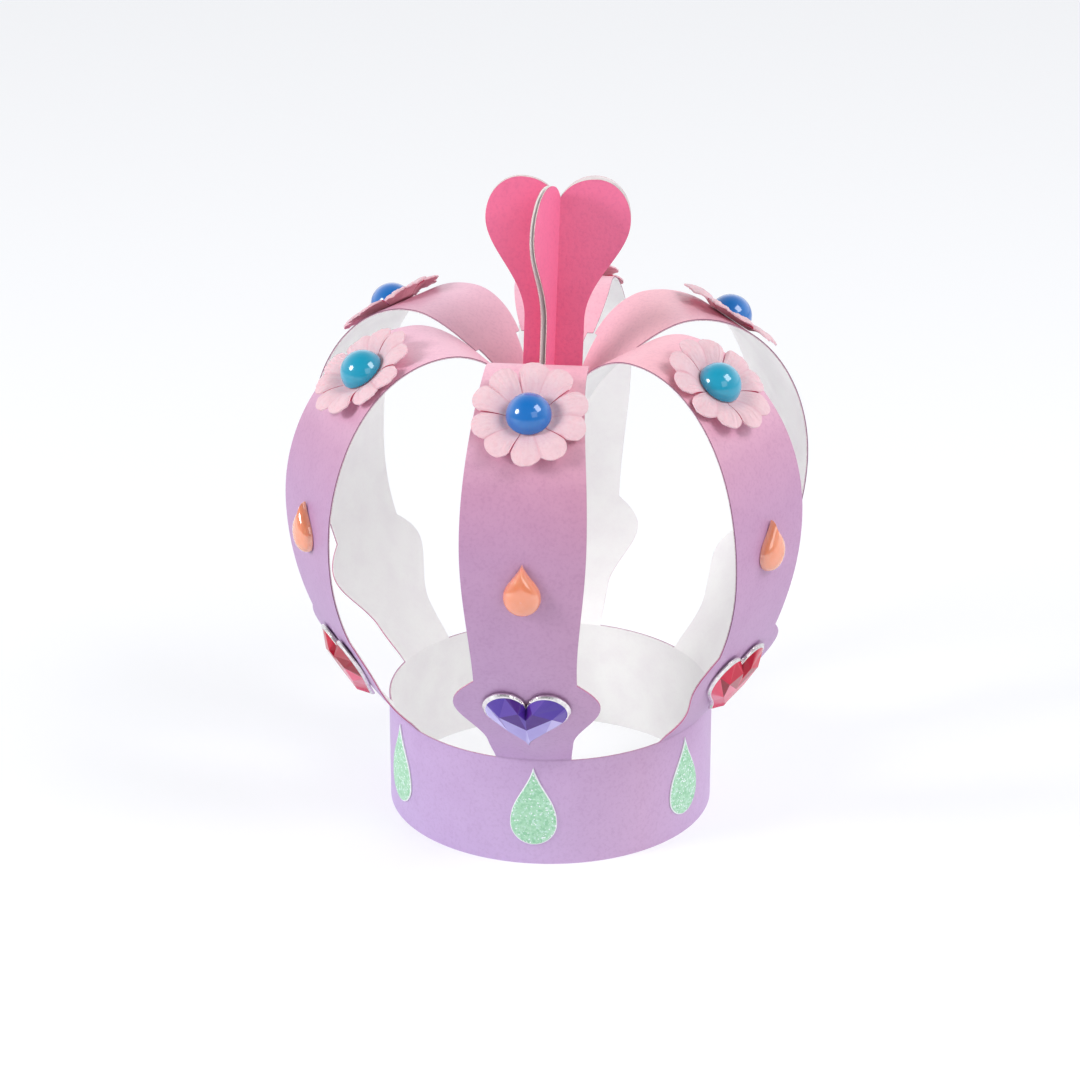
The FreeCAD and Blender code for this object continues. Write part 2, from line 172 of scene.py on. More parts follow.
class Shell:
    """Gathers grids of points into one mesh object."""

    def __init__(self):
        self.points = []
        self.runs = []
        self.faces = []
        self.slots = []

    def grid(self, rows, slot, runs=None, smooth=True):
        """Adds faces between neighbouring rows; runs gives each row's distance along the print."""
        start = len(self.points)
        width = len(rows[0])
        for index, row in enumerate(rows):
            self.points.extend(row)
            self.runs.extend([runs[index] if runs else 0.0] * width)
        for row in range(len(rows) - 1):
            for column in range(width - 1):
                corner = start + row * width + column
                self.faces.append((corner, corner + 1, corner + width + 1, corner + width))
                self.slots.append(slot)

    def face(self, corners, slot):
        start = len(self.points)
        self.points.extend(corners)
        self.runs.extend([0.0] * len(corners))
        self.faces.append(tuple(range(start, start + len(corners))))
        self.slots.append(slot)

    def build(self, name, materials, place=Matrix(), sharp=35, weld=0.002, flat=False):
        """The object, in metres, with its corners welded and its faces turned outward."""
        mesh = bpy.data.meshes.new(name)
        mesh.from_pydata([place @ point * MM for point in self.points], [], self.faces)
        run = mesh.attributes.new("run", "FLOAT", "POINT")
        run.data.foreach_set("value", self.runs)
        mesh.polygons.foreach_set("material_index", self.slots)
        work = bmesh.new()
        work.from_mesh(mesh)
        bmesh.ops.remove_doubles(work, verts=work.verts, dist=weld * MM)
        bmesh.ops.recalc_face_normals(work, faces=work.faces)
        work.to_mesh(mesh)
        work.free()
        mesh.polygons.foreach_set("use_smooth", [not flat] * len(mesh.polygons))
        if not flat:
            mesh.set_sharp_from_angle(angle=math.radians(sharp))
        for material in materials:
            mesh.materials.append(material)
        made = bpy.data.objects.new(name, mesh)
        bpy.context.scene.collection.objects.link(made)
        return made


def stand_in(piece, node):
    """The piece stands for a CAD node: it hangs from the body, and the node is hidden."""
    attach(piece, BODY)
    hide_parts(node)


# Materials

def linear(hex_colour):
    """A colour written as RRGGBB, in the linear values that shaders take."""
    values = []
    for start in (0, 2, 4):
        value = int(hex_colour[start:start + 2], 16) / 255
        values.append(value / 12.92 if value <= 0.04045 else ((value + 0.055) / 1.055) ** 2.4)
    return (*values, 1.0)


class Look:
    """A node material round one Principled shader."""

    def __init__(self, name, **settings):
        self.material = bpy.data.materials.new(name)
        self.material.use_nodes = True
        self.tree = self.material.node_tree
        self.shader = self.tree.nodes["Principled BSDF"]
        for socket, value in settings.items():
            self.shader.inputs[socket.replace("_", " ")].default_value = value

    def node(self, kind, links=None, **settings):
        made = self.tree.nodes.new("ShaderNode" + kind)
        for key, value in settings.items():
            setattr(made, key, value)
        for socket, value in (links or {}).items():
            if isinstance(value, bpy.types.NodeSocket):
                self.tree.links.new(value, made.inputs[socket])
            else:
                made.inputs[socket].default_value = value
        return made

    def join(self, output, socket):
        self.tree.links.new(output, self.shader.inputs[socket])

    def place(self):
        """Points of the object, in metres."""
        return self.node("TexCoord").outputs["Object"]

    def noise(self, scale, detail=3, roughness=0.5, place=None):
        links = {"Vector": place or self.place(), "Scale": scale, "Detail": detail, "Roughness": roughness}
        return self.node("TexNoise", links).outputs["Fac"]

    def ramp(self, factor, stops, interpolation="LINEAR"):
        """Colours along a factor; stops are (place, RRGGBB or a grey value)."""
        made = self.node("ValToRGB", {"Fac": factor})
        made.color_ramp.interpolation = interpolation
        elements = made.color_ramp.elements
        while len(elements) < len(stops):
            elements.new(0.5)
        for element, (position, colour) in zip(elements, stops):
            element.position = position
            element.color = linear(colour) if isinstance(colour, str) else (colour, colour, colour, 1)
        return made.outputs["Color"]

    def mix(self, factor, a, b, blend="MIX"):
        made = self.node("Mix", data_type="RGBA", blend_type=blend)
        for socket, value in ((0, factor), (6, a), (7, b)):
            if isinstance(value, bpy.types.NodeSocket):
                self.tree.links.new(value, made.inputs[socket])
            else:
                made.inputs[socket].default_value = value
        return made.outputs[2]

    def bump(self, height, strength, distance, after=None):
        links = {"Height": height, "Strength": strength, "Distance": distance}
        if after is not None:
            links["Normal"] = after
        return self.node("Bump", links).outputs["Normal"]


def paper_grain(look, base, speck=0.5, strength=0.3):
    """Fine fibres and soft clouds of card over a base colour, with a matching bump."""
    fibre = look.noise(1150, 4, 0.6)
    cloud = look.noise(140, 3, 0.5)
    shade = look.mix(look.ramp(fibre, ((0.34, 1.0), (0.52, 0.0))), (1, 1, 1, 1), (0.84, 0.78, 0.84, 1))
    toned = look.mix(speck, base, shade, "MULTIPLY")
    clouds = look.mix(look.ramp(cloud, ((0.3, 0.0), (0.7, 1.0))), (1, 1, 1, 1), (0.96, 0.94, 0.96, 1))
    look.join(look.mix(1.0, toned, clouds, "MULTIPLY"), "Base Color")
    look.join(look.bump(fibre, strength, 0.00025), "Normal")


# The print's colours along the run, with painted shade: the dark stop at 30.5 mm paints a line along the fold
# at the arms' feet, and it also darkens the band's top edge between the arms.
PRINT_STOPS_AND_CREASE_SHADE = (
    (0, "CDB4DB"), (30.1, "C6A8D0"), (30.5, "967699"), (31.2, "C5A5CE"), (80, "BE97BC"),
    (104, "BF93B6"), (122, "CC98B4"), (138, "EDB9CB"), (156, "F7C4D1"), (178, "F6C6D2"), (215, "EAB1C0"),
)
PRINT_LENGTH = 240


def printed_card():
    """The outside of the sheet, printed from lilac at the band to pink over the top, with a painted shade
    line along the arms' folds.
    """
    look = Look("printed_card", Roughness=0.42, Specular_IOR_Level=0.8)
    run = look.node("Attribute", attribute_name="run").outputs["Fac"]
    share = look.node("Math", {0: run, 1: PRINT_LENGTH}, operation="DIVIDE").outputs[0]
    base = look.ramp(share, [(run_mm / PRINT_LENGTH, colour) for run_mm, colour in PRINT_STOPS_AND_CREASE_SHADE])
    across = look.node("SeparateXYZ", {0: look.place()}).outputs["X"]
    wash = look.node("MapRange", {0: across, 1: -0.05, 2: 0.05}).outputs[0]
    tint = look.ramp(wash, ((0.0, "F6F6FF"), (0.45, "FFFBFF"), (0.78, "FFF2F0"), (1.0, "FFFBFF")))
    paper_grain(look, look.mix(1.0, base, tint, "MULTIPLY"))
    return look.material


def white_card():
    """The plain inside of the sheet."""
    look = Look("white_card", Roughness=0.7, Specular_IOR_Level=0.3)
    paper_grain(look, linear("FBFAF8"), speck=0.08, strength=0.15)
    return look.material


def cut_edge(name, stops):
    """A cut ply, with torn fibre along it."""
    look = Look(name, Roughness=0.85, Specular_IOR_Level=0.2)
    fibre = look.noise(2600, 3, 0.6)
    look.join(look.ramp(fibre, ((0.3, stops[0]), (0.7, stops[1]))), "Base Color")
    look.join(look.bump(fibre, 0.5, 0.0002), "Normal")
    return look.material


def printed_edge():
    """The printed ply's cut edge: mauve at the band, hot pink round the lobes, dark maroon up the straps and
    lighter again on the tongues.
    """
    look = Look("edge_print", Roughness=0.8, Specular_IOR_Level=0.2)
    run = look.node("Attribute", attribute_name="run").outputs["Fac"]
    share = look.node("Math", {0: run, 1: PRINT_LENGTH}, operation="DIVIDE").outputs[0]
    base = look.ramp(share, ((0.0, "B391B8"), (0.125, "AE7F9E"), (0.15, "C95C86"), (0.27, "C2608A"),
                             (0.31, "84587A"), (0.6, "8C5C74"), (0.8, "B8788E")))
    paper_grain(look, base)
    return look.material


def heart_card():
    """The hearts' hot pink print, with short fibres in it."""
    look = Look("heart_card", Roughness=0.5, Specular_IOR_Level=0.5)
    paper_grain(look, linear("F0789F"), speck=0.45)
    return look.material


def petal_paper():
    """Soft pressed mulberry paper with fine fibres; the run carries painted shade, low in the creases, along
    the slits and near the pearl, and 1 on the lobes.
    """
    look = Look("petal_paper", Roughness=0.85, Specular_IOR_Level=0.2)
    look.shader.inputs["Subsurface Weight"].default_value = 0.2
    look.shader.inputs["Subsurface Radius"].default_value = (1.0, 0.3, 0.35)
    look.shader.inputs["Subsurface Scale"].default_value = 0.0006
    place = look.place()
    fibre = look.noise(1100, 5, 0.6, place)
    cloud = look.noise(240, 2, 0.5, place)
    run = look.node("Attribute", attribute_name="run").outputs["Fac"]
    # Painted shade: the darker colours at low runs stand for shade in the creases, along the slits and round
    # the pearl.
    depth = look.ramp(run, ((0.0, "D38A9C"), (0.25, "DFADB8"), (0.6, "E5BFC7"), (1.0, "E9C9CF")))
    veined = look.mix(look.ramp(fibre, ((0.38, 0.22), (0.52, 0.0))), depth, linear("D9A5B1"))
    look.join(look.mix(look.ramp(cloud, ((0.35, 0.0), (0.75, 0.35))), veined, linear("E4BAC3")), "Base Color")
    look.join(look.bump(fibre, 0.25, 0.0003), "Normal")
    return look.material


def petal_back_and_painted_slit_shade():
    """The petals' pale pink backs, and the slits' side walls painted deep pink as painted shade; both colour
    the light bounced into the slits and onto the card below.
    """
    look = Look("petal_back_and_painted_slit_shade", Roughness=0.9, Specular_IOR_Level=0.1)
    run = look.node("Attribute", attribute_name="run").outputs["Fac"]
    # Run 0, the slits' side walls, is painted shade in deep pink; run 1 is the petals' pale back.
    look.join(look.ramp(run, ((0.0, "CF4A69"), (1.0, "EDB6C1"))), "Base Color")
    return look.material


def pearl(name, body, glow):
    """A glossy half pearl: a deep body colour under a mirror-bright skin, mottled toward the glow colour,
    with a painted reflection that pales the rim where the skin turns away from the view.
    """
    look = Look(name, Roughness=0.3, Specular_IOR_Level=0.1, Coat_Weight=1.0, Coat_Roughness=0.02,
                Coat_IOR=1.65)
    skin = look.noise(150, 2, 0.4)
    # Painted reflection: the rim turns toward the glow colour by how far the skin faces away from the view.
    facing = look.node("LayerWeight", {"Blend": 0.5}).outputs["Facing"]
    rim = look.ramp(facing, ((0.4, 0.0), (0.95, 0.6)))
    tint = look.mix(look.ramp(skin, ((0.4, 0.0), (0.7, 0.12))), linear(body), linear(glow))
    look.join(look.mix(rim, tint, linear(glow)), "Base Color")
    return look.material


def pear_gem():
    """Milky orange resin with a hard gloss."""
    look = Look("pear_gem", Roughness=0.15, Coat_Weight=1.0, Coat_Roughness=0.02, Coat_IOR=2.1)
    look.shader.inputs["Subsurface Weight"].default_value = 0.3
    look.shader.inputs["Subsurface Radius"].default_value = (1.0, 0.45, 0.25)
    look.shader.inputs["Subsurface Scale"].default_value = 0.0015
    run = look.node("Attribute", attribute_name="run").outputs["Fac"]
    cloud = look.noise(260, 2, 0.5)
    body = look.ramp(run, ((0.0, "F2A58C"), (0.4, "EF8F63"), (1.0, "EE8654")))
    look.join(look.mix(look.ramp(cloud, ((0.4, 0.0), (0.7, 0.3))), body, linear("F2A683")), "Base Color")
    return look.material


def gem_facets(name, stops):
    """Clear cut plastic over foil: each facet is given a depth of colour from 0 to 1, dark above and pale
    below, as painted reflection.
    """
    look = Look(name, Roughness=0.3, Specular_IOR_Level=0.1, Coat_Weight=0.7, Coat_Roughness=0.02)
    run = look.node("Attribute", attribute_name="run").outputs["Fac"]
    body = look.ramp(run, [(step / (len(stops) - 1), colour) for step, colour in enumerate(stops)])
    cloud = look.noise(280, 2, 0.4)
    look.join(look.mix(look.ramp(cloud, ((0.35, 0.0), (0.75, 0.18))), body, linear(stops[2])), "Base Color")
    return look.material


def foil():
    """The gem's silver foil skirt, a little creased."""
    look = Look("foil", Roughness=0.22, Metallic=1.0)
    crease = look.noise(900, 3, 0.6)
    look.join(look.ramp(crease, ((0.3, "DAD3D6"), (0.7, "FBF8F6"))), "Base Color")
    look.join(look.bump(crease, 0.4, 0.0002), "Normal")
    return look.material


def glitter():
    """Mint card crusted with fine flakes, each of its own tone, and a few painted near white as painted
    glints.
    """
    look = Look("glitter", Roughness=0.42, Specular_IOR_Level=0.6)
    place = look.place()
    coarse = look.node("TexVoronoi", {"Vector": place, "Scale": 1500.0}).outputs["Color"]
    fine = look.node("TexVoronoi", {"Vector": place, "Scale": 2900.0}).outputs["Color"]
    tone = look.ramp(coarse, ((0.15, "93CFA5"), (0.45, "A9DDB8"), (0.7, "B7E3C3"), (0.95, "CDEDE0")))
    grains = look.mix(look.ramp(fine, ((0.2, 0.35), (0.5, 0.0))), tone, linear("86C79B"))
    # Painted glints: a few flakes are painted near white.
    painted_glint = look.ramp(fine, ((0.8, 0.0), (0.83, 1.0)), "CONSTANT")
    look.join(look.mix(painted_glint, grains, linear("F2FBFA")), "Base Color")
    look.join(look.bump(fine, 0.5, 0.0002), "Normal")
    return look.material


# The card sheet

def tongue_seat():
    """The radius of the tongues' upright ends, which clears the corners of the hearts' stem edges."""
    turn = math.radians(FRONT_WING_TURN)
    edge = STEM_HALF + STEM_CLEARANCE
    return edge * math.cos(turn) + (HEART_GAP + HEART_CARD) * math.sin(turn)


def arm_line():
    """An arm's printed face seen from the side, as (radius, height)."""
    lean = math.radians(FOOT_LEAN)
    foot = Vector((BAND_RADIUS, BAND_HEIGHT))
    belly = Vector(BELLY)
    crest = Vector(CREST)
    bend = Vector((tongue_seat(), TONGUE_BEND_HEIGHT))
    rise = belly.y - foot.y
    top_rise = crest.y - belly.y
    up = Vector((0, 1))
    out = Vector((1, 0))
    outward = Vector((math.cos(lean), math.sin(lean)))
    return Line([
        (foot, foot + outward * rise * 0.43, belly - up * rise * 0.36, belly),
        (belly, belly + up * top_rise * 0.58, crest + out * (belly.x - crest.x) * 0.55, crest),
        (crest, crest - out * (crest.x - bend.x) * 0.47, bend + up * (crest.y - bend.y) * 0.38, bend),
        (bend, bend - up * TONGUE_TIP),
    ])


LINE = arm_line()
BELLY_STATION = next(d for d, (point, _) in zip(LINE.distances, LINE.places) if point.y >= BELLY[1])
CREST_STATION = next(d for d, (point, _) in zip(LINE.distances, LINE.places) if point.y >= CREST[1] - 1e-6)
LOBE_END = NECK_LENGTH + LOBE_LENGTH
WIDEST_STATION = BELLY_STATION + STRAP_WIDEST
SHOULDER_STATION = CREST_STATION + SHOULDER_RUN


def along(distance):
    """The point, heading and printed side's normal at a distance up an arm that faces +X."""
    point, heading = LINE.at(distance)
    normal = Vector((heading.y, 0, -heading.x))
    return Vector((point.x, 0, point.y)), Vector((heading.x, 0, heading.y)), normal


def room(distance):
    """The half width that keeps an arm clear of its neighbours."""
    return along(distance)[0].x * math.tan(math.pi / ARMS) - ARM_GAP


def arm_half(distance):
    """Half of the arm's width: neck, lobes and strap."""
    if distance <= NECK_LENGTH:
        return FOOT_HALF + (NECK_HALF - FOOT_HALF) * distance / NECK_LENGTH
    if distance < LOBE_END:
        share = (distance - NECK_LENGTH) / LOBE_LENGTH
        line = NECK_HALF + (STRAP_FOOT_HALF - NECK_HALF) * share
        return line + LOBE_BULGE * math.sin(math.pi * share ** LOBE_SKEW)
    if distance < WIDEST_STATION:
        return ease(STRAP_FOOT_HALF, STRAP_HALF, (distance - LOBE_END) / (WIDEST_STATION - LOBE_END))
    if distance < CREST_STATION:
        return ease(STRAP_HALF, CREST_HALF, (distance - WIDEST_STATION) / (CREST_STATION - WIDEST_STATION))
    share = (distance - CREST_STATION) / SHOULDER_RUN
    return CREST_HALF + (room(SHOULDER_STATION) - CREST_HALF) * share ** 2


def tongue_half(distance):
    share = (distance - SHOULDER_STATION) / (LINE.length - SHOULDER_STATION)
    straight = room(distance) - SHOULDER_STEP * (1 - share)
    end = TONGUE_END_HALF / straight
    return straight * math.sqrt(max(1 - (1 - end ** 2) * share ** 3, 0))


SHOULDER_SHARE = 1 - SHOULDER_STEP / room(SHOULDER_STATION)
TONGUE_COLUMNS = spread(-1, 1, 10)
ARM_COLUMNS = [-1] + [SHOULDER_SHARE * share for share in TONGUE_COLUMNS] + [1]
RING_SAG = BAND_RADIUS - math.sqrt(BAND_RADIUS ** 2 - FOOT_HALF ** 2)
ROOT_LENGTH = 3


def arm_point(distance, half, column, depth, wave):
    """A point of an arm facing +X: column runs across from -1 to 1, depth goes from print to plain side."""
    point, _, normal = along(distance)
    root = min(distance / ROOT_LENGTH, 1)
    inward = Vector((1, 0, 0)).lerp(normal, root)
    sag = RING_SAG * max(1 - distance / NECK_LENGTH, 0) ** 1.6
    if distance == 0:
        radius = BAND_RADIUS - depth
        across = half * column
        return Vector((math.sqrt(radius ** 2 - across ** 2), across, BAND_HEIGHT))
    bowed = point - inward * (sag * column ** 2 + depth) + normal * wave
    return bowed + Vector((0, half * column, 0))


def arm_wave(number, distance):
    """Slight unevenness of a hand-rolled arm, nothing at its two ends."""
    hold = math.sin(math.pi * min(max(distance / LINE.length, 0), 1)) ** 2
    return 0.12 * hold * noise.noise(Vector((distance * 0.05, number * 7.3, 0)))


def add_arm(shell, number):
    place = turned(number * ARM_STEP)

    def row(distance, half, columns, depth):
        wave = arm_wave(number, distance)
        return [place @ arm_point(distance, half, column, depth, wave) for column in columns]

    strips = (
        (spread(0, NECK_LENGTH, 8) + spread(NECK_LENGTH, LOBE_END, 22)[1:]
         + spread(LOBE_END, SHOULDER_STATION, 84)[1:], arm_half, ARM_COLUMNS),
        (spread(SHOULDER_STATION, LINE.length, 22), tongue_half, TONGUE_COLUMNS),
    )
    for stations, half, columns in strips:
        runs = [BAND_HEIGHT + station for station in stations]
        for depth, slot in ((0, 0), (CARD, 1)):
            shell.grid([row(s, half(s), columns, depth) for s in stations], slot, runs)
        for side in (-1, 1):
            for near, far, slot in ((0, PLY, 2), (PLY, CARD, 3)):
                edge = [[row(s, half(s), [side], depth)[0] for depth in (near, far)] for s in stations]
                shell.grid(edge, slot, runs)
    shoulder = arm_half(SHOULDER_STATION)
    for columns in (ARM_COLUMNS[:2], ARM_COLUMNS[-2:]):
        for near, far, slot in ((0, PLY, 2), (PLY, CARD, 3)):
            step = [row(SHOULDER_STATION, shoulder, columns, depth) for depth in (near, far)]
            shell.grid(step, slot, [BAND_HEIGHT + SHOULDER_STATION] * 2)
    end_half = tongue_half(LINE.length)
    for near, far, slot in ((0, PLY, 2), (PLY, CARD, 3)):
        end = [row(LINE.length, end_half, TONGUE_COLUMNS, depth) for depth in (near, far)]
        shell.grid(end, slot, [BAND_HEIGHT + LINE.length] * 2)


def ring_point(column, depth, height):
    """A point of the band; column is a share of the foot's half width or an angle past the foot."""
    kind, value = column
    radius = BAND_RADIUS - depth
    if kind == "foot":
        across = FOOT_HALF * value
        return Vector((math.sqrt(radius ** 2 - across ** 2), across, height))
    angle = math.radians(value)
    return Vector((radius * math.cos(angle), radius * math.sin(angle), height))


SEAM_ARM = 1
SEAM_CLEAR = 1


def add_band(shell):
    """The ring, open by a hair at its seam, and the overlap glued inside it."""
    foot_angle = math.degrees(math.asin(FOOT_HALF / BAND_RADIUS))
    lap_angle = math.degrees(LAP_LENGTH / BAND_RADIUS)
    seam = ARM_STEP - foot_angle - lap_angle
    half_gap = math.degrees(SEAM_GAP / BAND_RADIUS) / 2
    heights = spread(0, BAND_HEIGHT, 8)
    foot = [("foot", share) for share in ARM_COLUMNS]
    after = [("foot", 1)] + [("past", angle) for angle in spread(foot_angle, ARM_STEP - foot_angle, 14)[1:-1]]
    for number in range(ARMS):
        place = turned(number * ARM_STEP)
        gap_end = ("past", ARM_STEP - foot_angle)
        stretches = [foot]
        if number == SEAM_ARM:
            before = [c for c in after if c[0] == "foot" or c[1] < seam - SEAM_CLEAR]
            beyond = [c for c in after[1:] if c[1] > seam + SEAM_CLEAR]
            stretches.append(before + [("past", seam - half_gap)])
            stretches.append([("past", seam + half_gap)] + beyond + [gap_end])
        else:
            stretches.append(after + [gap_end])
        for stretch_number, columns in enumerate(stretches):
            def row(depth, height):
                return [place @ ring_point(column, depth, height) for column in columns]
            shell.grid([row(0, height) for height in heights], 0, heights)
            shell.grid([row(CARD, height) for height in heights], 1, heights)
            levels = [0] if stretch_number == 0 else [0, BAND_HEIGHT]
            for level in levels:
                shell.grid([row(0, level), row(PLY, level)], 2, [level] * 2)
                shell.grid([row(PLY, level), row(CARD, level)], 3, [level] * 2)
        if number == SEAM_ARM:
            for side in (-1, 1):
                column = ("past", seam + side * half_gap)
                for near, far, slot in ((0, PLY, 2), (PLY, CARD, 3)):
                    shell.grid([[place @ ring_point(column, depth, height) for depth in (near, far)]
                                for height in heights], slot, heights)
    lap_place = turned(SEAM_ARM * ARM_STEP)
    lap_angles = spread(seam, seam + lap_angle, 8)
    for depth in (CARD + LAP_GLUE, 2 * CARD):
        shell.grid([[lap_place @ ring_point(("past", angle), depth, height)
                     for angle in lap_angles] for height in heights], 1, heights)
    for angle in (lap_angles[0], lap_angles[-1]):
        for near, far, slot in ((CARD + LAP_GLUE, CARD + PLY, 2), (CARD + PLY, 2 * CARD, 3)):
            shell.grid([[lap_place @ ring_point(("past", angle), depth, height) for depth in (near, far)]
                        for height in heights], slot, heights)
    for level in (0, BAND_HEIGHT):
        for near, far, slot in ((CARD + LAP_GLUE, CARD + PLY, 2), (CARD + PLY, 2 * CARD, 3)):
            shell.grid([[lap_place @ ring_point(("past", angle), depth, level) for angle in lap_angles]
                        for depth in (near, far)], slot, [level] * 2)


def make_crown_card():
    shell = Shell()
    add_band(shell)
    for number in range(ARMS):
        add_arm(shell, number)
    looks = [printed_card(), white_card(), printed_edge(), cut_edge("edge_plain", ("C2A6B2", "E6D6D8"))]
    card = shell.build("crown_card", looks)
    stand_in(card, "crown_sheet")


# The heart topper

def heart_sides():
    """The half heart's inner and outer outline as functions of height."""
    bottom = TONGUE_BEND_HEIGHT - TONGUE_TIP - STEM_DROP
    notch = Vector((0, HEART_NOTCH_HEIGHT))
    top = Vector(HEART_TOP)
    widest = Vector((HEART_HALF, HEART_WIDEST_HEIGHT))
    waist = Vector((STEM_HALF, HEART_WAIST_HEIGHT))
    up = Vector((0, 1))
    out = Vector((1, 0))
    flank = widest.y - waist.y
    leave = notch + Vector((top.x * 0.15, (top.y - notch.y) * 0.6))
    rise = [curve((notch, leave, top - out * top.x * 0.48, top), share)[0] for share in spread(0, 1, 60)]
    fall = []
    for poles in (
        (top, top + out * (widest.x - top.x) * 0.56, widest + up * (top.y - widest.y) * 0.56, widest),
        (widest, widest - up * flank * 0.33, waist + up * flank * 0.42, waist),
        (waist, Vector((STEM_HALF, bottom))),
    ):
        fall += [curve(poles, share)[0] for share in spread(0, 1, 60)]
    fall.reverse()

    def reader(points):
        heights = [point.y for point in points]

        def read(height):
            index = min(max(bisect_left(heights, height), 1), len(points) - 1)
            low, high = points[index - 1], points[index]
            share = 0 if high.y == low.y else min(max((height - low.y) / (high.y - low.y), 0), 1)
            return low.x + (high.x - low.x) * share
        return read

    return bottom, reader(rise), reader(fall)


def heart_rows(bottom):
    """Heights of a half heart's rows, close together where its outline is flat."""
    lobe = [HEART_NOTCH_HEIGHT + (HEART_TOP[1] - HEART_NOTCH_HEIGHT) * math.sin(share * math.pi / 2)
            for share in spread(0, 1, 26)]
    return spread(bottom, HEART_NOTCH_HEIGHT, 60)[:-1] + lobe


FRONT_WING_BOW = 0.35
FLAT_WING_BOW = 0.08
BOW_START = 140
BOW_LENGTH = 30


def make_topper_hearts():
    """Three hearts glued back to back: two folded ones in front, and a flat one behind them."""
    bottom, inner, outer = heart_sides()
    heights = heart_rows(bottom)
    looks = [heart_card(), heart_inside(), cut_edge("edge_heart_print", ("B8486F", "D9708F")),
             cut_edge("edge_heart_plain", ("CDB3AC", "F6E9E2"))]
    pivot = Vector((0, 0, TONGUE_BEND_HEIGHT - TONGUE_TIP / 2))
    tilt = Matrix.Rotation(math.radians(TOPPER_LEAN), 4, "Y")
    lean = Matrix.Translation(pivot) @ tilt @ Matrix.Translation(-pivot)
    front = -FRONT_WING_TURN
    right = 90 + FLAT_HEART_TURN
    left = right + 180
    for number, (start, end) in enumerate(((front, right), (right, left), (left, front + 360))):
        shell = Shell()
        for mirror in (False, True):
            rise = BACK_HEART_RISE if number == 1 and not mirror else 0
            wing = end if mirror else start
            bow_size = FRONT_WING_BOW if wing in (front, front + 360) else FLAT_WING_BOW
            half_turn = math.radians((end - start) / 2)
            far_turn = Matrix.Rotation(math.radians(end - start), 4, "Z")

            def point(reach, depth, height):
                across = math.sin(math.pi * min(reach / STEM_HALF, 1) / 2)
                bow = bow_size * across * ease(1, 0.3, (height - BOW_START) / BOW_LENGTH)
                offset = HEART_GAP + HEART_CARD - depth + bow
                mitre = offset / math.tan(half_turn)
                raised = height + rise * ease(0, 1, reach / STEM_HALF)
                spot = Vector((max(reach, mitre), -offset if mirror else offset, raised))
                return far_turn @ spot if mirror else spot

            def row(height, depth):
                begin = inner(height) if height > HEART_NOTCH_HEIGHT else 0
                return [point(reach, depth, height) for reach in spread(begin, outer(height), 16)]

            shell.grid([row(height, 0) for height in heights], 0)
            shell.grid([row(height, HEART_PLY) for height in heights], 1)
            for near, far, slot in ((0, HEART_PLY / 3, 2), (HEART_PLY / 3, HEART_PLY, 3)):
                tops = [height for height in heights if height >= HEART_NOTCH_HEIGHT]
                for side, levels in ((outer, heights), (inner, tops)):
                    shell.grid([[point(side(level), near, level), point(side(level), far, level)]
                                for level in levels], slot)
                shell.grid([row(bottom, depth) for depth in (near, far)], slot)
        heart = shell.build(f"heart_fold_{number + 1}", looks, lean @ turned(start))
        stand_in(heart, f"topper_heart_{number + 1}")


def heart_inside():
    """The plain inside of the hearts."""
    look = Look("heart_inside", Roughness=0.7, Specular_IOR_Level=0.3)
    paper_grain(look, linear("FAF6F4"), speck=0.08, strength=0.15)
    return look.material


# Ornaments, drawn lying flat with their backs on the XY plane and their tops towards +Y

def on_arm(number, distance, lift):
    """The place of an ornament on an arm: its back on the printed face, its top towards the crest."""
    point, heading, normal = along(distance)
    axes = Matrix((Vector((0, 1, 0)), heading, normal)).transposed().to_4x4()
    return turned(number * ARM_STEP) @ Matrix.Translation(point + normal * lift) @ axes


PETALS = 5
LOBE_ANGLE = 18
LOBE_RADIUS = 4.5
PETAL_REACH = 15.1
SLIT_CORNER = 1.1
SLIT_START = 6.4
SLIT_HALF = 0.32
FLOWER_FLAT = 6.3
FLOWER_TURN = 36


def petal_reach(angle):
    """How far a petal reaches at an angle from its middle: two round lobes that run into one another."""
    off = math.radians(abs(angle) - LOBE_ANGLE)
    centre = PETAL_REACH - LOBE_RADIUS
    reach = centre * math.cos(off) + math.sqrt(LOBE_RADIUS ** 2 - (centre * math.sin(off)) ** 2)
    return reach - SLIT_CORNER * max(abs(angle) / LOBE_ANGLE - 1, 0) ** 5


def petal_height(reach, angle, seed, lift, roll):
    """The cupped, puffed and creased surface of a petal."""
    out = max(reach - FLOWER_FLAT, 0) / (FLOWER_RADIUS - FLOWER_FLAT)
    spring = ease(0, 1, out * 1.6)
    side = abs(abs(angle) - LOBE_ANGLE) / LOBE_ANGLE
    dish = FLOWER_RISE * 0.8 * math.sin(math.pi * 0.8 * min(out, 1) ** 0.9)
    puff = 0.62 * (1 - min(side, 1) ** 2.6) * spring * (1 - 0.5 * out ** 4)
    crease = 0.26 * noise.noise(Vector((angle * 0.3 + seed, reach * 0.09, seed)))
    fine = 0.13 * noise.noise(Vector((angle * 0.7, reach * 0.12, seed * 2.3)))
    crumple = 0.3 * noise.noise(Vector((reach * 0.2, angle * 0.05, seed * 3.1)))
    return dish + puff + (crease + fine) * spring + crumple * out + lift * out ** 2 + roll * angle / 36 * out


def petal_shade_and_streaks(share, angle, reach, seed):
    """Painted shade with fibre streaks: the paper is painted darker near the pearl, in the notch and along
    the slits, and streaked at random.
    """
    side = abs(abs(angle) - LOBE_ANGLE) / LOBE_ANGLE
    streak = 0.35 * noise.noise(Vector((angle * 0.55 + seed, reach * 0.08, seed * 1.7)))
    return min(max((1 - 0.55 * side ** 8) * ease(0.3, 1, share * 1.35) + streak, 0), 1)


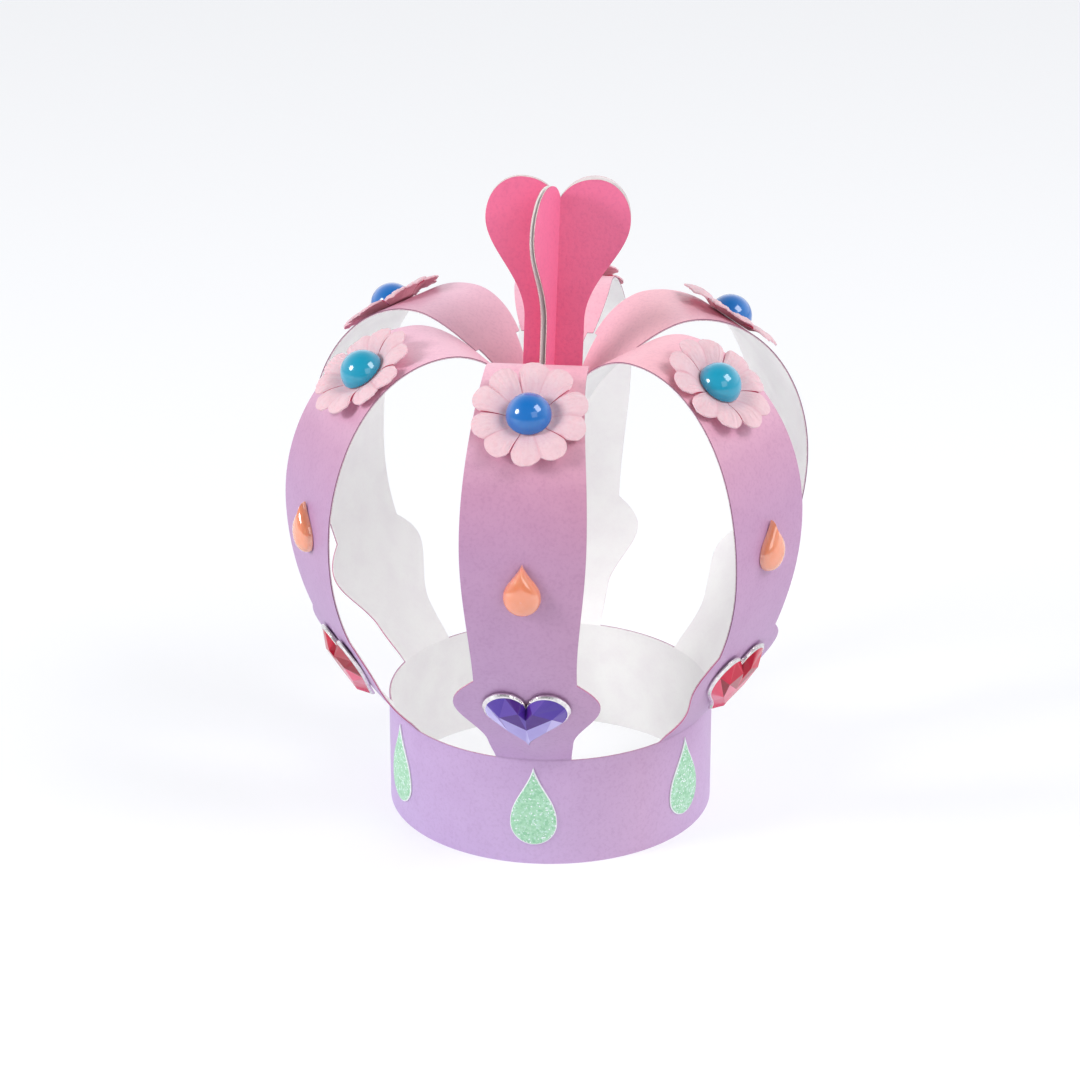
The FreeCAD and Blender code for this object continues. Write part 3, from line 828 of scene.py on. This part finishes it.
def make_flower(number, looks):
    chance = random.Random(40 + number)
    shell = Shell()
    spin = FLOWER_TURN + chance.uniform(-7, 7) * (number > 0)
    limit = 2 * LOBE_ANGLE
    angles = [limit * math.sin(share * math.pi / 2) for share in spread(-1, 1, 64)]
    shares = [share ** 0.8 for share in spread(0, 1, 22)]
    for petal in range(PETALS):
        seed = number * 11.7 + petal * 3.3
        lift = chance.uniform(-0.5, 0.5)
        roll = chance.uniform(-0.25, 0.45)
        swing = chance.uniform(-1.2, 1.2)
        stretch = chance.uniform(0.97, 1.0)
        middle = (petal + 0.5) * 360 / PETALS + spin
        layers = []
        for depth in (0, FLOWER_PAPER):
            rows = []
            for angle in angles:
                row = []
                for share in shares:
                    reach = petal_reach(angle) * stretch * share
                    open_share = max(reach - SLIT_START, 0) / (PETAL_REACH - SLIT_START)
                    shut = 1 - math.degrees((0.06 + SLIT_HALF * open_share) / max(reach, 3)) / limit
                    turn = math.radians(middle + angle * shut + swing * open_share)
                    height = petal_height(reach, angle, seed, lift, roll) + FLOWER_PAPER - depth
                    row.append(Vector((reach * math.cos(turn), reach * math.sin(turn), max(height, 0.02))))
                rows.append(row)
            layers.append(rows)
        top, under = layers
        start = len(shell.runs)
        shell.grid(top, 0)
        # Painted shade: each point's run darkens the paper near the pearl, in the notch and along the slits,
        # with random streaks.
        for row_number, angle in enumerate(angles):
            for column, share in enumerate(shares):
                tone = petal_shade_and_streaks(share, angle, petal_reach(angle) * share, seed)
                shell.runs[start + row_number * len(shares) + column] = tone
        shell.grid(under, 1, [1.0] * len(under))
        shell.grid([[a[-1], b[-1]] for a, b in zip(top, under)], 0, [0.7] * len(top))
        # The slits' side walls take run 0 of the back's look: deep pink painted shade.
        for side in (0, -1):
            shell.grid([[a, b] for a, b in zip(top[side], under[side])], 1)
    station = CREST_STATION - FLOWER_BELOW_CREST
    place = on_arm(number, station, GLUE_GAP)
    flower = shell.build(f"paper_flower_{number + 1}", looks, place, sharp=50, weld=0)
    stand_in(flower, f"flower_{number + 1}")


def make_pearl(number, look):
    """A half pearl with a rounded lower edge."""
    shell = Shell()
    steps = [(PEARL_RADIUS * math.cos(a), PEARL_RADIUS * math.sin(a))
             for a in (math.radians(v) for v in spread(4, 90, 30))]
    steps = [(0, 0), (PEARL_RADIUS - 0.35, 0), (PEARL_RADIUS - 0.1, 0.12)] + steps
    rows = []
    for radius, height in steps:
        rows.append([Vector((radius * math.cos(t), radius * math.sin(t), height)) for t in
                     (math.radians(v) for v in spread(0, 360, 72))])
    shell.grid(rows, 0)
    station = CREST_STATION - FLOWER_BELOW_CREST
    made = shell.build(f"half_pearl_{number + 1}", [look], on_arm(number, station, PEARL_LIFT), sharp=70)
    stand_in(made, f"pearl_{number + 1}")


def pear_half(length, width):
    """Half of a drop's outline from its round foot to its point, as (across, ahead)."""
    radius = width / 2
    flank = (length - radius) * 0.42
    turns = [math.radians(angle) for angle in spread(0, 90, 18)]
    foot = [(radius * math.sin(turn), -radius * math.cos(turn)) for turn in turns]
    poles = ((radius, 0), (radius, flank), (radius * 0.3, length - radius - flank), (0, length - radius))
    side = [tuple(curve(poles, share)[0]) for share in spread(0, 1, 26)]
    return foot + side[1:]


PEAR_SCALES = (1.0, 0.998, 0.99, 0.97, 0.94, 0.9, 0.84, 0.77, 0.69, 0.6, 0.5, 0.4, 0.3, 0.2, 0.1, 0.02)
PEAR_RIM = 0.35
PEAR_FOOT = 0.985


def make_pear_gem(number, look):
    """A pear-shaped gem that swells from its pointed outline into a smooth dome."""
    half = pear_half(PEAR_LENGTH, PEAR_WIDTH)
    outline = [Vector((x, y, 0)) for x, y in half + [(-x, y) for x, y in half[-2::-1]]]
    dome = []
    for step in spread(0, 2 * math.pi, len(outline) - 1):
        ahead = (PEAR_LENGTH - PEAR_WIDTH) * 0.3 - PEAR_LENGTH * 0.42 * math.cos(step)
        dome.append(Vector((PEAR_WIDTH / 2 * math.sin(step), ahead, 0)))
    shell = Shell()
    rows = [[point * PEAR_FOOT for point in outline]]
    runs = [0.0]
    for scale in PEAR_SCALES:
        height = max(PEAR_HEIGHT * (1 - scale ** 2.2) ** 0.41 if scale < 1 else 0, PEAR_RIM)
        swell = min((1 - scale) * 1.8, 1)
        rows.append([edge.lerp(middle, swell) * scale + UP * height for edge, middle in zip(outline, dome)])
        runs.append(height / PEAR_HEIGHT)
    shell.grid(rows, 0, runs)
    shell.face([point * PEAR_FOOT for point in outline[:-1]], 0)
    shell.face(rows[-1][:-1], 0)
    centred = Matrix.Translation((0, (PEAR_WIDTH - PEAR_LENGTH) / 2, 0))
    place = on_arm(number, PEAR_STATION, GLUE_GAP) @ centred
    made = shell.build(f"pear_drop_{number + 1}", [look], place, sharp=60)
    stand_in(made, f"pear_gem_{number + 1}")


def heart_outline(turn):
    """A heart's outline at an angle from its notch, about 1 wide each way."""
    waves = 13 * math.cos(turn) - 5 * math.cos(2 * turn) - 2 * math.cos(3 * turn) - math.cos(4 * turn)
    return Vector((math.sin(turn) ** 3 / 2, waves / 29 + 0.07))


GIRDLE_TURNS = (0, 26, 52, 80, 108, 138, 163, 180)
TABLE_TURNS = (0, 40, 80, 118, 155, 180)
TABLE_SHARE = 0.62
TABLE_DROP = 0.25
GIRDLE_SHARE = 0.925
GEM_BACK_SHARE = 0.97
# Painted reflection: the dark tones of the upper facets and the pale tones of the lower facets.
DARK_FACETS = (0.0, 0.14, 0.3, 0.42)
PALE_FACETS = (0.78, 0.88, 0.96)
FACET_SPLIT = 0.13


def both_sides(turns):
    """A half's angles and their mirror images, all the way round."""
    return list(turns) + [360 - turn for turn in turns[-2:0:-1]]


def make_heart_gem(number, look, skirt):
    """A heart gem: a bright foil skirt, facets that slope up from it, and a broken table."""
    chance = random.Random(90 + number)
    shell = Shell()

    def spot(turn, scale, height):
        point = heart_outline(math.radians(turn)) * scale
        return Vector((point.x * GEM_WIDTH, point.y * GEM_LENGTH, height))

    ring = spread(0, 360, 96)
    levels = ((GEM_BACK_SHARE, 0), (1.0, 0.15), (1.0, 0.5), (0.965, GEM_RIM * 0.85), (GIRDLE_SHARE, GEM_RIM))
    shell.grid([[spot(turn, scale, height) for turn in ring] for scale, height in levels], 1)

    def facet(corners):
        middle = sum(corner.y for corner in corners) / len(corners) / GEM_LENGTH
        # Painted reflection: facets above the split are painted dark, those below it pale.
        tone = chance.choice(DARK_FACETS if middle > FACET_SPLIT else PALE_FACETS)
        start = len(shell.runs)
        shell.face(corners, 0)
        for index in range(start, len(shell.runs)):
            shell.runs[index] = tone

    girdle = both_sides(GIRDLE_TURNS)
    table = both_sides(TABLE_TURNS)
    top = GEM_HEIGHT - TABLE_DROP
    low, high = 0, 0
    while low < len(girdle) or high < len(table):
        next_low = girdle[(low + 1) % len(girdle)] or 360
        next_high = table[(high + 1) % len(table)] or 360
        here = spot(girdle[low % len(girdle)], GIRDLE_SHARE, GEM_RIM)
        up = spot(table[high % len(table)], TABLE_SHARE, top)
        if high >= len(table) or (low < len(girdle) and next_low <= next_high):
            arc = [spot(turn, GIRDLE_SHARE, GEM_RIM) for turn in spread(girdle[low], next_low, 6)]
            facet(arc + [up])
            low += 1
        else:
            facet([here, spot(next_high, TABLE_SHARE, top), up])
            high += 1
    centre = Vector((0, -0.02 * GEM_LENGTH, GEM_HEIGHT))
    for index in range(len(table)):
        ahead = table[(index + 1) % len(table)]
        facet([centre, spot(table[index], TABLE_SHARE, top), spot(ahead, TABLE_SHARE, top)])
    shell.face([spot(turn, GEM_BACK_SHARE, 0) for turn in ring[:-1]], 1)
    place = on_arm(number, GEM_STATION, GLUE_GAP)
    made = shell.build(f"cut_heart_{number + 1}", [look, skirt], place, weld=0, flat=True)
    stand_in(made, f"heart_gem_{number + 1}")


def make_glitter_drop(number, looks):
    """A drop of glitter card wrapped round the band, with its white cut edge showing."""
    half = pear_half(DROP_LENGTH, DROP_WIDTH)
    foot = BAND_HEIGHT - DROP_BELOW_EDGE - DROP_LENGTH + DROP_WIDTH / 2
    shell = Shell()

    def wrapped(across, ahead, lift):
        angle = across / BAND_RADIUS
        radius = BAND_RADIUS + GLUE_GAP + lift
        return Vector((radius * math.cos(angle), radius * math.sin(angle), foot + ahead))

    def rows(inset, lift):
        made = []
        low, high = half[0][1] + inset, half[-1][1] - inset * 1.6
        for across, ahead in half:
            width = max(across - inset, 0)
            level = low + (ahead - half[0][1]) / (half[-1][1] - half[0][1]) * (high - low)
            made.append([wrapped(width * share, level, lift) for share in spread(-1, 1, 16)])
        return made

    face = rows(DROP_BEVEL, DROP_CARD)
    rim = rows(0, DROP_CARD * 0.72)
    back = rows(0, 0)
    shell.grid(face, 0)
    for side in (0, -1):
        shell.grid([[a[side], b[side], c[side]] for a, b, c in zip(face, rim, back)], 1)
    shell.grid(back, 1)
    made = shell.build(f"glitter_drop_card_{number + 1}", looks, turned(number * ARM_STEP), sharp=30)
    stand_in(made, f"glitter_drop_{number + 1}")


# Camera, light and floor

CAMERA_DISTANCE = 0.869
CAMERA_HEIGHT = 0.447
CAMERA_AZIMUTH = 5.86
CAMERA_PITCH = 23.2
FOCAL_PIXELS = 3526
FRAME_PIXELS = 1080
AXIS_PIXEL = 550.5
SENSOR = 36


def make_camera():
    data = bpy.data.cameras.new("view")
    data.sensor_width = SENSOR
    data.lens = SENSOR * FOCAL_PIXELS / FRAME_PIXELS
    data.shift_x = (FRAME_PIXELS / 2 - AXIS_PIXEL) / FRAME_PIXELS
    camera = bpy.data.objects.new("view", data)
    azimuth = math.radians(CAMERA_AZIMUTH)
    aside = math.sin(azimuth) * CAMERA_DISTANCE
    back = math.cos(azimuth) * CAMERA_DISTANCE
    camera.location = (aside, -back, CAMERA_HEIGHT)
    camera.rotation_euler = (math.radians(90 - CAMERA_PITCH), 0, azimuth)
    bpy.context.scene.collection.objects.link(camera)
    bpy.context.scene.camera = camera


LAMP_AIM = 0.09


def make_lamp(name, direction, distance, glow, size, round_shape=False):
    """A soft light of a given brightness, aimed at the middle of the crown."""
    data = bpy.data.lights.new(name, "AREA")
    data.size = size[0]
    area = math.pi * size[0] ** 2 / 4
    if round_shape:
        data.shape = "DISK"
    else:
        data.shape = "RECTANGLE"
        data.size_y = size[1]
        area = size[0] * size[1]
    data.energy = glow * area * math.pi
    lamp = bpy.data.objects.new(name, data)
    target = Vector((0, 0, LAMP_AIM))
    lamp.location = target + Vector(direction).normalized() * distance
    lamp.rotation_euler = (target - lamp.location).to_track_quat("-Z", "Y").to_euler()
    bpy.context.scene.collection.objects.link(lamp)


ROOM_FRONT = (0.24, 0.23, 0.25, 1)
ROOM_SIDE = (0.56, 0.56, 0.59, 1)
ROOM_BACK = (1.05, 1.07, 1.10, 1)
ROOM_SIDE_PLACE = 0.42
ROOM_BACK_PLACE = 0.72
CEILING_START = 0.35
WALL_STRENGTH = 1.15
CEILING_STRENGTH = 0.3
BACKDROP = (0.95, 0.97, 0.99, 1)


def make_world():
    """A white room: bright behind and beside the crown, dimmer behind the camera and overhead."""
    world = bpy.data.worlds.new("studio")
    bpy.context.scene.world = world
    world.use_nodes = True
    tree = world.node_tree

    def join(output, socket):
        tree.links.new(output, socket)

    place = tree.nodes.new("ShaderNodeTexCoord")
    split = tree.nodes.new("ShaderNodeSeparateXYZ")
    join(place.outputs["Generated"], split.inputs[0])
    depth = tree.nodes.new("ShaderNodeMapRange")
    depth.inputs["From Min"].default_value = -1
    depth.inputs["From Max"].default_value = 1
    join(split.outputs["Y"], depth.inputs["Value"])
    ramp = tree.nodes.new("ShaderNodeValToRGB")
    elements = ramp.color_ramp.elements
    elements[0].color = ROOM_FRONT
    elements[1].color = ROOM_BACK
    elements[1].position = ROOM_BACK_PLACE
    elements.new(ROOM_SIDE_PLACE).color = ROOM_SIDE
    join(depth.outputs[0], ramp.inputs["Fac"])
    ceiling = tree.nodes.new("ShaderNodeMapRange")
    ceiling.inputs["From Min"].default_value = CEILING_START
    ceiling.inputs["To Min"].default_value = WALL_STRENGTH
    ceiling.inputs["To Max"].default_value = CEILING_STRENGTH
    join(split.outputs["Z"], ceiling.inputs["Value"])
    room_light = tree.nodes.new("ShaderNodeVectorMath")
    room_light.operation = "SCALE"
    join(ramp.outputs["Color"], room_light.inputs[0])
    join(ceiling.outputs[0], room_light.inputs["Scale"])
    path = tree.nodes.new("ShaderNodeLightPath")
    mix = tree.nodes.new("ShaderNodeMix")
    mix.data_type = "RGBA"
    mix.inputs[7].default_value = BACKDROP
    join(path.outputs["Is Camera Ray"], mix.inputs[0])
    join(room_light.outputs[0], mix.inputs[6])
    join(mix.outputs[2], tree.nodes["Background"].inputs["Color"])


FLOOR_HALF = 6
FLOOR_GLOW = 0.56


def make_floor():
    """A white table; seen straight on it is lit mostly by itself, so that shadows stay faint."""
    corners = [(x * FLOOR_HALF, y * FLOOR_HALF, 0) for x, y in ((-1, -1), (1, -1), (1, 1), (-1, 1))]
    mesh = bpy.data.meshes.new("floor")
    mesh.from_pydata(corners, [], [(0, 1, 2, 3)])
    floor = bpy.data.objects.new("floor", mesh)
    bpy.context.scene.collection.objects.link(floor)
    look = Look("floor", Roughness=0.8, Specular_IOR_Level=0.1)
    paper = look.ramp(look.noise(8, 2), ((0.3, "F0F3F5"), (0.7, "F4F7F9")))
    look.shader.inputs["Emission Color"].default_value = (0.97, 0.985, 1.0, 1)
    seen = look.node("LightPath").outputs["Is Camera Ray"]
    look.join(look.mix(seen, paper, linear("B4B4B6")), "Base Color")
    glow = look.node("Math", {0: seen, 1: FLOOR_GLOW}, operation="MULTIPLY").outputs[0]
    look.join(glow, "Emission Strength")
    mesh.materials.append(look.material)


make_crown_card()
make_topper_hearts()
petals = [petal_paper(), petal_back_and_painted_slit_shade()]
blue = pearl("pearl_blue", "006EBE", "6488D2")
teal = pearl("pearl_teal", "0098B8", "58AED0")
orange = pear_gem()
violet = gem_facets("gem_violet", ("4A1C80", "4A309C", "6C50B0", "AEA2E2", "CFC8F6"))
red = gem_facets("gem_red", ("8C0420", "B80A30", "D01642", "E4345C", "F06C8C"))
skirt = foil()
drop_looks = [glitter(), cut_edge("drop_edge", ("E4ECEA", "FAFDFC"))]
for arm in range(ARMS):
    even = arm % 2 == 0
    make_flower(arm, petals)
    make_pearl(arm, blue if even else teal)
    make_pear_gem(arm, orange)
    make_heart_gem(arm, violet if even else red, skirt)
    make_glitter_drop(arm, drop_looks)

make_camera()
make_world()
make_lamp("key", (-0.80, -0.41, 0.46), 1.2, 18.0, (0.42,), round_shape=True)
make_lamp("window", (0.66, -0.24, 0.71), 1.2, 6.5, (0.55, 0.6))
make_lamp("panel", (0.52, -0.74, 0.42), 1.25, 1.4, (0.6, 0.6))
make_floor()
bpy.context.scene.view_settings.view_transform = "Standard"
